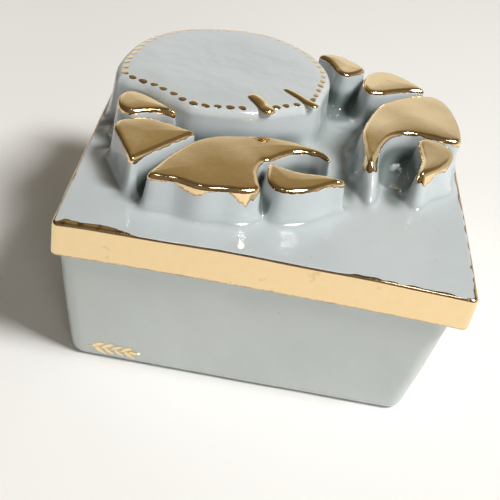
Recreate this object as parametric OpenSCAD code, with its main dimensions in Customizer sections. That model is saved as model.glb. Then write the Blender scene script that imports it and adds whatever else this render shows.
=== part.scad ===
// Square porcelain trinket box: a tapered base and a lift-off lid with a crab in relief.
// Millimetres. The origin is under the middle of the lid, on the surface that the box stands on.
// +X runs along the front from left to right, +Y runs from front to back, +Z is up.

/* [Base] */
// Width of the base at its rim
base_top_w = 96.4; // [94:0.2:97]
// Width of the base at its foot
base_foot_w = 88.4; // [84:0.2:94]
// Height of the base up to its rim
base_h = 35; // [26:1:50]
// Thickness of the base's walls
wall_t = 4.2; // [3.6:0.1:5]
// Thickness of the base's floor above the foot ring
floor_t = 4.2; // [3:0.1:6]
// Radius of the base's upright corners at the foot
base_corner_r = 3.6; // [3:0.5:8]
// Height of the foot ring
foot_h = 0.8; // [0.5:0.1:2]
// Width of the foot ring
foot_ring_w = 5; // [4:0.5:8]
// How far the base sits to one side under the lid
base_shift = -1; // [-1.2:0.1:1.2]

/* [Lid] */
// Width and depth of the lid
lid_w = 100; // [99:0.5:108]
// Height of the lid's edge
lid_edge_h = 9.5; // [8:0.5:14]
// Thickness of the lid's plate
plate_t = 4.5; // [3:0.5:6]
// Radius of the lid's corners
lid_corner_r = 2; // [1:0.5:6]
// Thickness of the locating flange under the lid
flange_t = 3; // [2:0.5:4]
// How far the locating flange reaches down inside the base
flange_drop = 5; // [3:0.5:10]
// Gap between the flange and the inside of the base's rim
flange_gap = 1.4; // [1.3:0.1:2.5]
// Ledge left between the flange and the hollow under the shell
hollow_ledge = 1; // [0.5:0.1:3]

/* [Relief] */
// Height of the crab's shell above the lid
carapace_h = 13.3; // [12.5:0.1:18]
// Height of the arm segments next to the shell
arm_inner_h = 12.2; // [8:0.1:12.4]
// Height of the outer arm segments
arm_outer_h = 11; // [8:0.1:12]
// Height of the claws
claw_h = 10; // [6:0.1:12]
// Thickness of porcelain over the hollow under the shell
shell_t = 4; // [3:0.5:6]
// Length of each eye stalk
eye_l = 9.5; // [6:0.5:11]
// Radius of the left eye stalk
left_eye_r = 1.6; // [1:0.1:2]
// Radius of the right eye stalk
right_eye_r = 1.2; // [0.8:0.1:2]

/* [Gold] */
// Thickness of the gold layers
gold_t = 0.3; // [0.2:0.05:0.5]
// Radius of the dots around the shell
dot_r = 0.85; // [0.5:0.05:1.1]
// Number of dots around the shell, before those under the eyes are left out
dot_count = 52; // [30:1:60]
// Length of the leaf sprig on the front of the base
sprig_l = 14; // [8:1:24]
// Number of leaf pairs on the sprig
leaf_pairs = 3; // [2:1:5]

/* [Hidden] */

// Colours
porcelain = [0.77, 0.81, 0.81];
gold = [0.83, 0.68, 0.40];

// Derived heights and widths
lid_top = base_h + lid_edge_h;
plate_bottom = lid_top - plate_t;
carapace_top = lid_top + carapace_h;
body_w = lid_w - 2 * gold_t;
rim_inner_w = base_top_w - 2 * wall_t;
flange_w = rim_inner_w - 2 * flange_gap;
recess_w = flange_w - 2 * flange_t;
taper = atan((base_top_w - base_foot_w) / 2 / (base_h - foot_h));
cut = 0.1;

// Outlines of the relief, drawn on a lid 100 mm wide
relief_scale = lid_w / 100;
hollow_scale = 0.84;
dots_scale = 0.92;
curve_steps = 5;
shell_centre = [-18, 19.5];
carapace_points = [
    [-46.8, 2], [-47.5, 12], [-44.5, 26], [-37.5, 37], [-27, 44.3], [-13, 48], [-2.5, 45.2],
    [6.5, 37.5], [11, 26], [9.7, 14], [7.3, 6], [-1, -1], [-8, -5.3], [-16, -7.7],
    [-25, -8.8], [-32, -5.4], [-38, -2], [-44.3, -0.2]];
left_inner_points = [
    [-44, -8.5], [-43.8, -4.9], [-42, -2.8], [-39, -2.7], [-35, -4.6], [-31, -7.3],
    [-28.6, -9.8], [-32.5, -10.6], [-36, -12], [-39.5, -13.8], [-42.5, -12.3]];
left_outer_points = [
    [-42.4, -20.5], [-42, -17], [-39.5, -15], [-35, -13.3], [-30, -13.7], [-25.5, -15],
    [-22.6, -16.2], [-25, -20], [-28.5, -25], [-33, -31.5], [-35.3, -34.3], [-37.3, -31],
    [-40, -25.5]];
left_palm_points = [
    [-30.6, -38.2], [-29.3, -32.5], [-27, -26.5], [-23, -19.3], [-18, -14.5], [-12, -11.7],
    [-5, -9.7], [2, -9.6], [8, -10.9], [11.2, -12.8], [12.4, -16], [10.2, -14.9], [7.2, -14],
    [3.5, -14.9], [0.5, -17.3], [-2.5, -20.8], [-4.6, -22.6], [-5.5, -27], [-5, -31.5],
    [-4.3, -35], [-7, -37.3], [-12, -38.3], [-18, -39.6], [-24, -38.3]];
left_thumb_points = [
    [-3.4, -24.5], [-2.5, -22.6], [0, -23.2], [4.5, -24.2], [10, -23.4], [13.5, -23.6],
    [16.2, -24.6], [13, -27], [8.5, -31.2], [4, -33.8], [0.5, -34.4], [-2, -32.5], [-3.2, -29]];
right_inner_points = [
    [7.6, 42.6], [9.6, 44.8], [13, 45.2], [17, 43.6], [20.5, 41], [21.6, 38.5], [19.5, 35.2],
    [16, 32.4], [13.5, 33.5], [12.2, 36.5], [10.5, 39.8]];
right_outer_points = [
    [21, 30], [21.4, 35], [23.5, 40], [27, 42.6], [31, 42.3], [35, 39.8], [38.8, 36.4],
    [39.8, 34.2], [36, 32.8], [31.5, 30.2], [27, 27.2], [23, 26.2]];
right_palm_points = [
    [23, 13.5], [25.2, 19.5], [28.5, 24.8], [33, 29.2], [37.5, 32.2], [42, 33.6], [45.3, 32],
    [47.5, 27.5], [49, 19.5], [49.2, 12.5], [48.5, 8.3], [45, 6.9], [40, 7.4], [35, 7.4],
    [31, 5.6], [28.2, 2.2], [26.2, -2.5], [24.8, -7.2], [23, -11.5], [21.9, -8.5], [21.1, -3],
    [20.7, 4.5]];
right_thumb_points = [
    [36.2, 4], [38, 5.9], [40.8, 6], [44, 4.4], [45.8, 1], [45, -3.2], [42.8, -7.3],
    [40, -10.7], [36.2, -13.6], [35.5, -11.5], [36.4, -6], [36.3, -1]];

// Middle of each eye stalk and its direction, seen from above
left_eye_at = [-7.8, -1.2];
left_eye_turn = -60;
right_eye_at = [2.3, 7];
right_eye_turn = -41;
eye_clearance = 2.4;

// Leaf sprig on the base, measured from the foot's left front corner
sprig_from_left = 5;
sprig_from_foot = 2.6;
leaf_l = 2.6;
leaf_w = 1.2;
leaf_turn = 48;
stem_w = 0.5;

// A point on a smooth curve through b and c
function curve_point(a, b, c, d, t) =
    0.5 * (2 * b + (c - a) * t + (2 * a - 5 * b + 4 * c - d) * pow(t, 2)
        + (3 * b - a - 3 * c + d) * pow(t, 3));

// A closed smooth curve through all the points of p
function smooth(p, n) =
    [for (i = [0:n - 1]) for (k = [0:curve_steps - 1])
        curve_point(p[(i + n - 1) % n], p[i], p[(i + 1) % n], p[(i + 2) % n], k / curve_steps)];

// The relief outline through p, at the lid's own size
function relief(p) = relief_scale * smooth(p, len(p));

// An outline shrunk towards the middle of the shell
function towards_centre(p, s) =
    [for (q = p) relief_scale * shell_centre + s * (q - relief_scale * shell_centre)];

// Running length along the closed outline p
function running_length(p, n) =
    [for (i = 0, l = 0; i <= n; l = l + norm(p[(i + 1) % n] - p[i % n]), i = i + 1) l];

// The point at length l along the closed outline p
function point_at(p, lengths, l) =
    let (i = max([for (k = [0:len(p) - 1]) if (lengths[k] <= l) k]),
         t = (l - lengths[i]) / (lengths[i + 1] - lengths[i]))
    p[i] + t * (p[(i + 1) % len(p)] - p[i]);

// Distance from q to the middle line of an eye stalk
function eye_distance(q, at, turn) =
    let (d = q - relief_scale * at,
         along = max(-eye_l / 2, min(eye_l / 2, d * [cos(turn), sin(turn)])))
    norm(d - along * [cos(turn), sin(turn)]);

function clear_of_eyes(q) =
    min(eye_distance(q, left_eye_at, left_eye_turn),
        eye_distance(q, right_eye_at, right_eye_turn)) > eye_clearance;

// A pointed leaf of length l and width w, drawn from its stalk
function leaf(l, w) =
    [for (k = [0:16]) let (t = k <= 8 ? k / 8 : (16 - k) / 8)
        [l * t, (k <= 8 ? -0.5 : 0.5) * w * sin(180 * t)]];

module rounded_square(w, r) {
    square([w - 2 * r, w], center = true);
    square([w, w - 2 * r], center = true);
    for (x = [-1, 1]) for (y = [-1, 1])
        translate([x * (w / 2 - r), y * (w / 2 - r)]) circle(r = r, $fn = 48);
}

// An upright block with an outline drawn from above
module relief_block(points, h) {
    translate([0, 0, lid_top]) linear_extrude(height = h) polygon(relief(points));
}

// The gold layer on top of such a block
module gold_top(points, h) {
    translate([0, 0, lid_top + h]) linear_extrude(height = gold_t) polygon(relief(points));
}

// A half-round bar with round ends that lies on the shell
module eye_stalk(at, turn, r) {
    translate([relief_scale * at[0], relief_scale * at[1], carapace_top])
        rotate([0, 0, turn])
            intersection() {
                union() {
                    rotate([0, 90, 0]) cylinder(h = eye_l - 2 * r, r = r, center = true, $fn = 32);
                    for (s = [-1, 1])
                        translate([s * (eye_l / 2 - r), 0, 0]) sphere(r = r, $fn = 32);
                }
                translate([-eye_l, -eye_l, 0]) cube([2 * eye_l, 2 * eye_l, 2 * r]);
            }
}

module box_base() {
    floor_top = foot_h + floor_t;
    taper_per_mm = (base_top_w - base_foot_w) / (base_h - foot_h);
    cavity_bottom_w = base_foot_w - 2 * wall_t + taper_per_mm * floor_t;
    cavity_top_w = rim_inner_w + taper_per_mm * cut;
    color(porcelain) translate([base_shift, 0, 0]) difference() {
        union() {
            linear_extrude(height = foot_h) rounded_square(base_foot_w, base_corner_r);
            translate([0, 0, foot_h])
                linear_extrude(height = base_h - foot_h, scale = base_top_w / base_foot_w)
                    rounded_square(base_foot_w, base_corner_r);
        }
        translate([0, 0, floor_top])
            linear_extrude(height = base_h - floor_top + cut, scale = cavity_top_w / cavity_bottom_w)
                rounded_square(cavity_bottom_w, base_corner_r);
        translate([0, 0, -cut])
            linear_extrude(height = foot_h + cut)
                rounded_square(base_foot_w - 2 * foot_ring_w, base_corner_r);
    }
}

module base_sprig() {
    color(gold)
        translate([base_shift - base_foot_w / 2 + sprig_from_left, -base_foot_w / 2, foot_h])
            rotate([90 + taper, 0, 0])
                translate([0, sprig_from_foot, 0])
                    linear_extrude(height = gold_t) {
                        translate([0, -stem_w / 2]) square([sprig_l - leaf_l / 2, stem_w]);
                        translate([sprig_l - leaf_l, 0]) polygon(leaf(leaf_l, leaf_w));
                        for (i = [0:leaf_pairs - 1]) for (s = [-1, 1])
                            translate([(i + 0.4) * (sprig_l - leaf_l) / leaf_pairs, 0])
                                rotate([0, 0, s * leaf_turn]) polygon(leaf(leaf_l, leaf_w));
                    }
}

// The hollow under the shell follows its outline, and stays clear of the flange.
module hollow_outline() {
    intersection() {
        polygon(towards_centre(relief(carapace_points), hollow_scale));
        translate([base_shift, 0]) rounded_square(recess_w - 2 * hollow_ledge, base_corner_r);
    }
}

module lid_plate() {
    color(porcelain) difference() {
        union() {
            translate([0, 0, base_h])
                linear_extrude(height = lid_edge_h) rounded_square(body_w, lid_corner_r);
            translate([base_shift, 0, base_h - flange_drop])
                linear_extrude(height = flange_drop + cut) rounded_square(flange_w, base_corner_r);
        }
        translate([base_shift, 0, base_h - flange_drop - cut])
            linear_extrude(height = plate_bottom - base_h + flange_drop + cut)
                rounded_square(recess_w, base_corner_r);
        translate([0, 0, plate_bottom - cut])
            linear_extrude(height = plate_t + 2 * cut) hollow_outline();
    }
}

module lid_edge_gold() {
    color(gold) translate([0, 0, base_h])
        linear_extrude(height = lid_edge_h) difference() {
            rounded_square(lid_w, lid_corner_r + gold_t);
            rounded_square(body_w, lid_corner_r);
        }
}

module carapace() {
    color(porcelain) difference() {
        relief_block(carapace_points, carapace_h);
        translate([0, 0, lid_top - cut])
            linear_extrude(height = carapace_h - shell_t + cut) hollow_outline();
    }
}

module carapace_dots() {
    path = towards_centre(relief(carapace_points), dots_scale);
    lengths = running_length(path, len(path));
    step = lengths[len(path)] / dot_count;
    color(gold) for (i = [0:dot_count - 1]) {
        q = point_at(path, lengths, i * step);
        if (clear_of_eyes(q))
            translate([q[0], q[1], carapace_top]) cylinder(h = gold_t, r = dot_r, $fn = 24);
    }
}

module left_eye() {
    color(gold) eye_stalk(left_eye_at, left_eye_turn, left_eye_r);
}

module right_eye() {
    color(gold) eye_stalk(right_eye_at, right_eye_turn, right_eye_r);
}

module left_arm_inner() {
    color(porcelain) relief_block(left_inner_points, arm_inner_h);
}

module left_arm_outer() {
    color(porcelain) relief_block(left_outer_points, arm_outer_h);
}

module left_claw_palm() {
    color(porcelain) relief_block(left_palm_points, claw_h);
}

module left_claw_thumb() {
    color(porcelain) relief_block(left_thumb_points, claw_h);
}

module right_arm_inner() {
    color(porcelain) relief_block(right_inner_points, arm_inner_h);
}

module right_arm_outer() {
    color(porcelain) relief_block(right_outer_points, arm_outer_h);
}

module right_claw_palm() {
    color(porcelain) relief_block(right_palm_points, claw_h);
}

module right_claw_thumb() {
    color(porcelain) relief_block(right_thumb_points, claw_h);
}

module left_arm_inner_gold() {
    color(gold) gold_top(left_inner_points, arm_inner_h);
}

module left_arm_outer_gold() {
    color(gold) gold_top(left_outer_points, arm_outer_h);
}

module left_palm_gold() {
    color(gold) gold_top(left_palm_points, claw_h);
}

module left_thumb_gold() {
    color(gold) gold_top(left_thumb_points, claw_h);
}

module right_arm_inner_gold() {
    color(gold) gold_top(right_inner_points, arm_inner_h);
}

module right_arm_outer_gold() {
    color(gold) gold_top(right_outer_points, arm_outer_h);
}

module right_palm_gold() {
    color(gold) gold_top(right_palm_points, claw_h);
}

module right_thumb_gold() {
    color(gold) gold_top(right_thumb_points, claw_h);
}

box_base();
base_sprig();
lid_plate();
lid_edge_gold();
carapace();
carapace_dots();
left_eye();
right_eye();
left_arm_inner();
left_arm_outer();
left_claw_palm();
left_claw_thumb();
right_arm_inner();
right_arm_outer();
right_claw_palm();
right_claw_thumb();
left_arm_inner_gold();
left_arm_outer_gold();
left_palm_gold();
left_thumb_gold();
right_arm_inner_gold();
right_arm_outer_gold();
right_palm_gold();
right_thumb_gold();
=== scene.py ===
import math

import bpy
import numpy as np
from mathutils import Matrix, Vector
from mathutils.geometry import delaunay_2d_cdt


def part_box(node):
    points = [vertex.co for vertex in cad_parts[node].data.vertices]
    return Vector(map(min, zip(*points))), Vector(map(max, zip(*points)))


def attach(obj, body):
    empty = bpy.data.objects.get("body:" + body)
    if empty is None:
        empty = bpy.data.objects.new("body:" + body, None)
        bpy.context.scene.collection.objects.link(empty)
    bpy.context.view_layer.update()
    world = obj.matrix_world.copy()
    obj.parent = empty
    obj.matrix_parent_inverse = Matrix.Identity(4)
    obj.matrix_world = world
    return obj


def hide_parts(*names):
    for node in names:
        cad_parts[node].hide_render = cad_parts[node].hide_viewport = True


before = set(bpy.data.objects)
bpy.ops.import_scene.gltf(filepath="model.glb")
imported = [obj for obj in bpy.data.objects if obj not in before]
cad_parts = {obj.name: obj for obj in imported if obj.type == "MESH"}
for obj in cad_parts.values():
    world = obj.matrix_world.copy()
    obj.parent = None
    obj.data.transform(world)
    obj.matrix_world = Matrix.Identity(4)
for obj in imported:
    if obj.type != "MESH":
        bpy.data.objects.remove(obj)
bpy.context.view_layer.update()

# All shapes below are worked out in millimetres in the frame's axes, and scaled when a mesh is made.
MM = 0.001
RANDOM = np.random.default_rng(11)

# -------- sizes taken from the frame


def high(node):
    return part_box(node)[1].z / MM


def low(node):
    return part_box(node)[0].z / MM


LID_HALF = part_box("lid_edge_gold")[1].x / MM
LID_TOP = high("lid_plate")
RIM_Z = high("box_base")
FLANGE_Z = low("lid_plate")
BASE_X = (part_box("box_base")[0].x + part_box("box_base")[1].x) / 2 / MM
BASE_TOP_HALF = (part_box("box_base")[1].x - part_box("box_base")[0].x) / 2 / MM
SHELL_TOP = high("carapace")

# Blocks of the relief: each has a gold top except the shell
SEGMENTS = ("arm_inner", "arm_outer", "claw_palm", "claw_thumb")
ARMS = [f"{side}_{segment}" for side in ("left", "right") for segment in SEGMENTS]
GOLD_OF = {name: name.replace("claw_", "") + "_gold" for name in ARMS}
BLOCKS = ["carapace", *GOLD_OF]


def loops_at(node, z):
    """The closed outlines of a CAD node's flat face at height z, each as an array of (x, y)."""
    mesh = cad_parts[node].data
    mesh.calc_loop_triangles()
    points = np.array([v.co for v in mesh.vertices]).reshape(-1, 3) / MM
    keys = {}
    same = [keys.setdefault(tuple(np.round(p, 3)), i) for i, p in enumerate(points)]
    edges = set()
    for t in mesh.loop_triangles:
        corners = [same[i] for i in t.vertices]
        if max(abs(points[i][2] - z) for i in corners) < 0.01:
            edges.update(zip(corners, corners[1:] + corners[:1]))
    following = {a: b for a, b in edges if (b, a) not in edges}
    return chained(following, points[:, :2])


def chained(following, points):
    """Follows a point-to-point table round and round, and returns the loops it holds."""
    loops = []
    left = dict(following)
    while left:
        start, at = next(iter(left.items()))
        del left[start]
        loop = [start]
        while at != start and at in left:
            loop.append(at)
            at = left.pop(at)
        loops.append(points[loop])
    return loops


# -------- outlines and distances


def smooth_loop(points, steps):
    """A closed outline with its corners rounded off, as a spline through its points."""
    a, b, c, d = (np.roll(points, k, axis=0) for k in (1, 0, -1, -2))
    rows = []
    for t in np.arange(steps) / steps:
        rows.append(0.5 * (2 * b + (c - a) * t + (2 * a - 5 * b + 4 * c - d) * t**2
                           + (3 * b - a - 3 * c + d) * t**3))
    return np.stack(rows, axis=1).reshape(-1, 2)


def crosses_upward(p, a, b):
    """For each point of p, how many edges a-b a ray to its right crosses."""
    above_a = a[None, :, 1] > p[:, None, 1]
    above_b = b[None, :, 1] > p[:, None, 1]
    slope = (b[:, 0] - a[:, 0]) / np.where(b[:, 1] == a[:, 1], 1e-12, b[:, 1] - a[:, 1])
    x = a[None, :, 0] + (p[:, None, 1] - a[None, :, 1]) * slope[None, :]
    return ((above_a != above_b) & (p[:, None, 0] < x)).sum(axis=1)


def is_inside(p, loops):
    """Which points of p lie inside the closed loops, with holes left out."""
    count = np.zeros(len(p), int)
    for loop in loops:
        count += crosses_upward(p, loop, np.roll(loop, -1, axis=0))
    return count % 2 == 1


def outline_distance(p, loop, far):
    """Signed distance from points p to a closed outline, negative inside and never above far."""
    result = np.full(len(p), far)
    low_corner, high_corner = loop.min(0) - far, loop.max(0) + far
    near = np.where(np.all((p > low_corner) & (p < high_corner), axis=1))[0]
    a = loop
    b = np.roll(loop, -1, axis=0)
    run = b - a
    squares = (run**2).sum(1)
    for part in np.array_split(near, max(1, len(near) // 4000)):
        q = p[part]
        to = q[:, None, :] - a[None]
        t = np.clip((to * run[None]).sum(2) / squares, 0, 1)
        gap = to - t[:, :, None] * run[None]
        d = np.sqrt((gap**2).sum(2).min(1))
        sign = np.where(crosses_upward(q, a, b) % 2 == 1, -1, 1)
        result[part] = np.minimum(d * sign, far)
    return result


def square_distance(p, half, radius):
    """Signed distance to a square with round corners in the middle of the lid."""
    q = np.abs(p) - (half - radius)
    outside = np.sqrt((np.maximum(q, 0) ** 2).sum(1))
    return outside + np.minimum(q.max(1), 0) - radius


def smooth_min(a, b, k):
    """The lower of a and b, blended where they are close. They blend within about 3 k of each other."""
    return np.minimum(a, b) - k * np.log1p(np.exp(-np.abs(a - b) / k))


def round_max(a, b, r):
    """The higher of a and b, with the edge between them rounded to radius r."""
    u, v = np.maximum(a + r, 0), np.maximum(b + r, 0)
    return np.minimum(np.maximum(a, b), -r) + np.sqrt(u * u + v * v)


def ease(x, start, end):
    """0 before start, 1 after end, and smooth between them."""
    t = np.clip((x - start) / (end - start), 0, 1)
    return t * t * (3 - 2 * t)


def ripple(p, wavelength, seed):
    """Smooth unevenness between about -1 and 1, made of a few waves in random directions."""
    dice = np.random.default_rng(seed)
    total = np.zeros(len(p))
    waves = 7
    for _ in range(waves):
        turn, phase = dice.uniform(0, 2 * np.pi, 2)
        length = wavelength * dice.uniform(0.7, 1.5)
        total += np.sin(2 * np.pi / length * (p[:, 0] * np.cos(turn) + p[:, 1] * np.sin(turn)) + phase)
    return total / np.sqrt(waves) * 0.8


# -------- the lid's glazed surface

OUTLINE = {n: smooth_loop(loops_at(n, high(n))[0], 2) for n in BLOCKS}
SIDE_HALF = LID_HALF - 0.1  # the porcelain's own half width, under the gold
LID_CORNER_R = 1.7
LID_EDGE_R = 0.8  # rounding of the lid's top edge
LID_FOOT_R = 0.5  # rounding of the lid's lower edge
EDGE_SAG = 1.1  # how much lower the corners of the lid are than its middle
RIM_SAG = 0.8  # the same for the lid's lower edge
DRAFT = 0.10  # how far a wall leans out for each millimetre down
WALL_INSET = 0.2  # the walls start this far inside the outline
FOOT_BLEND = 1.2  # glaze pooled at the foot of the relief
GROOVE_BLEND = 0.45  # glaze pooled between neighbouring blocks
# Places where it fills the groove further: x, y, reach along x and y, extra blend
FILLS = [(-4, -31, 3, 6, 0.8), (-24, -13, 5, 4, 0.35), (-33, -36, 4, 6, 0.3)]
BLOCK_EDGE_R = 1.1
VALLEY_W = 21.0  # valleys narrower than this gather glaze and get painted shade
TIGHT_VALLEY_W = 9.0  # and those narrower than this get the most glaze and painted shade
VALLEY_DEPTHS = (4.5, 10)  # the pooled glaze and painted shade start this far below the relief's top, and are full here
CHANNEL_REACH = 21.0  # how far away a valley's walls are looked for
SHELL_EDGE_R = 1.7
CROWN = 0.18  # how much a block's top rises from its edge to its middle
CROWN_RUN = 2.6
SHELL_CROWN = 0.95
# Places where a wall leans out more: block, x, y, reach along x and y, extra lean
FLARES = [
    ("right_claw_palm", 24.2, -16, 2.8, 9, 0.8), ("right_claw_palm", 21, -8, 3, 6, 0.25),
    ("right_claw_thumb", 36.5, -16, 3, 5, 0.3), ("left_claw_palm", -9, -42, 4, 4, 0.12),
    ("right_claw_thumb", 45, -6, 4, 4, 0.2),
]
# More pooled glaze and painted shade low down where the right claw's valleys run out: x, y, reach along x
# and y, depth
POOLED_GLAZE_AND_SHADE = [(30.8, -12.5, 3.2, 5.5, 0.9), (19.0, -13.5, 2.2, 6, 0.75), (17.5, -4, 3, 6, 0.5)]
FAR = 8.0  # outlines further away than this don't matter
MAP_STEP = 0.5
MAP_REACH = LID_HALF + 4
CELL = 0.45  # size of the surface mesh's cells


def bulge(p, x, y, reach_x, reach_y, height):
    """A smooth hill over the plan round (x, y)."""
    return height * np.exp(-(((p - [x, y]) / [reach_x, reach_y]) ** 2).sum(1))


def corner_drop(p):
    """1 at the corners of the lid and 0 along its middle lines."""
    return (np.clip(p[:, 0] / LID_HALF, -1, 1) * np.clip(p[:, 1] / LID_HALF, -1, 1)) ** 2


def plate_height(p):
    return LID_TOP + 0.75 - EDGE_SAG * corner_drop(p) + 0.1 * ripple(p, 24, 3)


def rim_height(p):
    return RIM_Z + RIM_SAG * (1 - corner_drop(p))


def blurred(table, rounds):
    for _ in range(rounds):
        wide = np.pad(table, 1, mode="edge")
        rows = (wide[2:] + 2 * wide[1:-1] + wide[:-2]) / 4
        table = (rows[:, 2:] + 2 * rows[:, 1:-1] + rows[:, :-2]) / 4
    return table


def distance_map(loop):
    """A square table of signed distances to an outline. Creases away from it are softened."""
    line = np.arange(-MAP_REACH, MAP_REACH + MAP_STEP, MAP_STEP)
    gx, gy = np.meshgrid(line, line, indexing="ij")
    grid = outline_distance(np.stack([gx.ravel(), gy.ravel()], axis=1), loop, FAR)
    grid = grid.reshape(len(line), len(line))
    return grid + ease(grid, 1.0, 4.0) * (blurred(grid, 14) - grid)


def look_up(table, p):
    """The table's values at points p, smoothly (a bicubic spline)."""
    at = np.clip((p + MAP_REACH) / MAP_STEP, 1, len(table) - 3.001)
    cell = at.astype(int)
    t = at - cell
    weights = np.stack([-t + 2 * t**2 - t**3, 2 - 5 * t**2 + 3 * t**3,
                        t + 4 * t**2 - 3 * t**3, -(t**2) + t**3]) / 2
    total = np.zeros(len(p))
    for i in range(4):
        for j in range(4):
            total += weights[i, :, 0] * weights[j, :, 1] * table[cell[:, 0] + i - 1, cell[:, 1] + j - 1]
    return total


MAP = {n: distance_map(OUTLINE[n]) for n in BLOCKS}


def plan_facts(p):
    """What depends only on the plan position: the side, the plate, and each block's outline and top."""
    side = square_distance(p, SIDE_HALF, LID_CORNER_R)
    facts = {"side": side, "plate": plate_height(p), "rim": rim_height(p)}
    facts["groove"] = GROOVE_BLEND + sum(bulge(p, *fill) for fill in FILLS)
    lean = DRAFT * ease(-side, 0.1, 2.0)
    for name in BLOCKS:
        s = look_up(MAP[name], p)
        rise = CROWN * (1 - np.exp(np.minimum(s, 0) / CROWN_RUN))
        if name == "carapace":
            rise = SHELL_CROWN / CROWN * rise + 0.12 * ripple(p, 30, 5)
        else:
            rise += 0.06 * ripple(p, 15, 4)
        draft = lean
        for block, x, y, reach_x, reach_y, extra in FLARES:
            if block == name:
                draft = draft + bulge(p, x, y, reach_x, reach_y, extra)
        facts[name] = (s, high(name) + rise, draft)
    return facts


def block_distance(facts, name, z):
    """Distance to one block of the relief: a wall that leans out, with a rounded top edge."""
    s, top, draft = facts[name]
    wall = (s + WALL_INSET - draft * np.maximum(top - z, 0)) / np.sqrt(1 + draft**2)
    return round_max(wall, z - top, SHELL_EDGE_R if name == "carapace" else BLOCK_EDGE_R)


def lid_distance(facts, z):
    """The fused, glazed surface as one distance, and how deep the glaze pools there."""
    blocks = sharp = block_distance(facts, BLOCKS[0], z)
    for name in BLOCKS[1:]:
        d = block_distance(facts, name, z)
        blocks = smooth_min(blocks, d, facts["groove"])
        sharp = np.minimum(sharp, d)
    plate = z - facts["plate"]
    body = smooth_min(blocks, plate, FOOT_BLEND)
    pooled_and_shade = np.minimum(sharp, plate) - body
    body = round_max(body, facts["side"], LID_EDGE_R)
    return round_max(body, facts["rim"] - z, LID_FOOT_R), pooled_and_shade


def grid_net(values, start, cell):
    """Quads along the places where a grid of values crosses zero (surface nets)."""
    inside = values < 0
    shape = tuple(n - 1 for n in values.shape)
    corners = [(i, j, k) for i in (0, 1) for j in (0, 1) for k in (0, 1)]

    def at_corner(array, c):
        return array[c[0]:c[0] + shape[0], c[1]:c[1] + shape[1], c[2]:c[2] + shape[2]]

    count = sum(at_corner(inside, c).astype(np.int8) for c in corners)
    mixed = (count > 0) & (count < 8)
    where = np.argwhere(mixed)
    index = np.full(shape, -1, np.int64)
    index[mixed] = np.arange(len(where))
    total = np.zeros((len(where), 3))
    hits = np.zeros(len(where))
    for c in corners:
        for axis in range(3):
            if c[axis]:
                continue
            other = tuple(1 if i == axis else v for i, v in enumerate(c))
            a = at_corner(values, c)[mixed]
            b = at_corner(values, other)[mixed]
            cross = (a < 0) != (b < 0)
            point = np.tile(np.array(c, float), (len(where), 1))
            point[:, axis] = a / np.where(cross, a - b, 1)
            total += point * cross[:, None]
            hits += cross
    quads = []
    for axis in range(3):
        u, v = [a for a in range(3) if a != axis]
        lower = [slice(1, -1)] * 3
        upper = [slice(1, -1)] * 3
        lower[axis], upper[axis] = slice(0, -1), slice(1, None)
        a, b = inside[tuple(lower)], inside[tuple(upper)]
        for change, outward in ((a & ~b, True), (~a & b, False)):
            at = np.argwhere(change)
            at[:, u] += 1
            at[:, v] += 1
            ring = []
            for du, dv in ((-1, -1), (0, -1), (0, 0), (-1, 0)):
                cell_at = at.copy()
                cell_at[:, u] += du
                cell_at[:, v] += dv
                ring.append(index[tuple(cell_at.T)])
            quad = np.stack(ring, axis=1)
            quads.append(quad if outward == (axis != 1) else quad[:, ::-1])
    return start + cell * (where + total / hits[:, None]), np.concatenate(quads)


def channel_width():
    """A table of how wide the open channel between walls is at each place of the plan, across it."""
    near = np.min([MAP[n] for n in BLOCKS], axis=0)
    size = len(near)
    row, column = np.meshgrid(np.arange(size), np.arange(size), indexing="ij")
    widths = []
    for turn in np.arange(8) / 8 * math.pi:
        total = np.zeros((size, size))
        for way in (turn, turn + math.pi):
            reach = np.full((size, size), CHANNEL_REACH)
            for run in np.arange(CHANNEL_REACH, 0, -0.5):
                i = np.clip(np.round(row + run / MAP_STEP * math.cos(way)), 0, size - 1).astype(int)
                j = np.clip(np.round(column + run / MAP_STEP * math.sin(way)), 0, size - 1).astype(int)
                reach = np.where(near[i, j] < -1, run, reach)
            total += reach
        widths.append(total)
    return blurred(np.min(widths, axis=0), 6)


def valley_glaze_and_shade(points):
    """0 in the open and 1 deep between two walls of the relief, where thick glaze gathers and the walls
    cast shade: painted shade as well as pooled glaze.
    """
    xy, z = points[:, :2], points[:, 2]
    facts = plan_facts(xy)
    narrow = 1 - ease(look_up(channel_width(), xy), TIGHT_VALLEY_W, VALLEY_W)
    tops = [np.where(facts[n][0] < CHANNEL_REACH / 2, facts[n][1], 0) for n in BLOCKS]
    deep = ease(np.max(tops, axis=0) - z, *VALLEY_DEPTHS)
    # Painted shade, with some pooled glaze: more darkening low down where the right claw's valleys run
    # out.
    extra = sum(bulge(xy, *darkening) for darkening in POOLED_GLAZE_AND_SHADE) * (1 - ease(z - facts["plate"], 3, 8))
    return np.minimum(narrow * deep + extra, 1)


def gradient(points, step=0.02):
    """The lid's distance at the points, how deep the glaze is, and the outward direction there."""
    xy, z = points[:, :2], points[:, 2]
    facts = plan_facts(xy)
    value, pooled_and_shade = lid_distance(facts, z)
    slopes = [lid_distance(plan_facts(xy + offset), z)[0] for offset in ([step, 0], [0, step])]
    slopes.append(lid_distance(facts, z + step)[0])
    out = (np.stack(slopes, axis=1) - value[:, None]) / step
    return value, pooled_and_shade, out


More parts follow.
